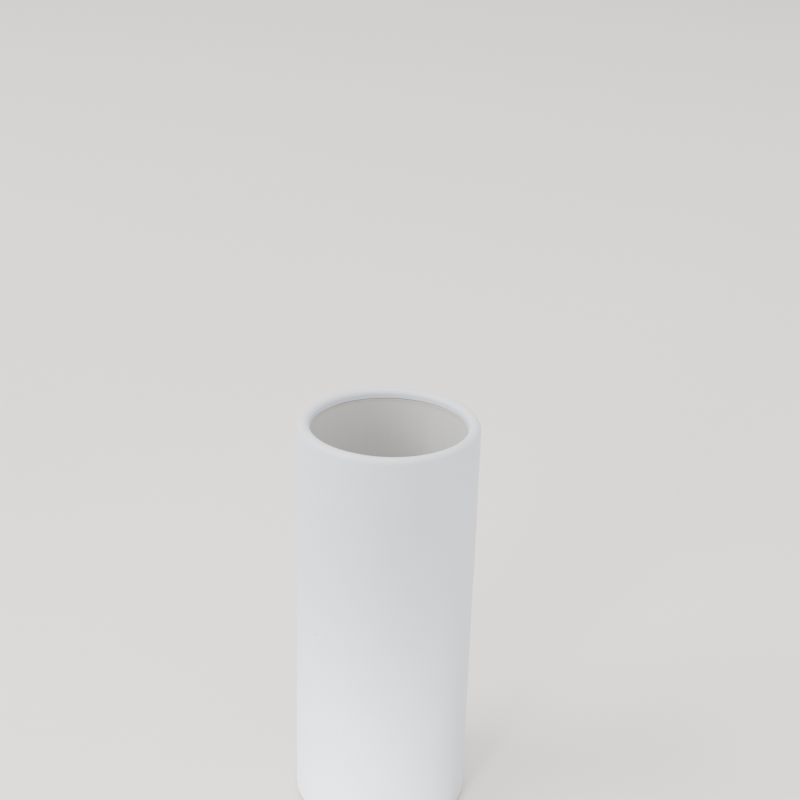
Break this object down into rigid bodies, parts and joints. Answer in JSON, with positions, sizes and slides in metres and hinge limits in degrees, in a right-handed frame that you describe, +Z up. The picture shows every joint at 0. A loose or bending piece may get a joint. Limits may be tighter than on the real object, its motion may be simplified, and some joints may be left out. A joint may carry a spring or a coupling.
{
  "type": "cylinder vase",
  "caption": "Straight cylindrical vase with a rounded rim, an open watertight cavity and a flat foot ring, for holding cut flower stems in water.",
  "frame": {"origin": "centre of the foot, on the surface that the vase stands on", "axes": "+Z up along the vase's axis, out of its mouth; the vase is round, so X and Y are free"},
  "size_m": [0.127, 0.127, 0.302],
  "materials": {
    "clay": "matte",
    "satin_glaze": "satin",
    "gloss_glaze": "gloss",
    "base_glaze": "satin"
  },
  "bodies": {
    "root": {"clay_body": "clay", "outer_glaze": "satin_glaze", "liner_glaze": "gloss_glaze", "base_glaze": "base_glaze"}
  },
  "joints": []
}
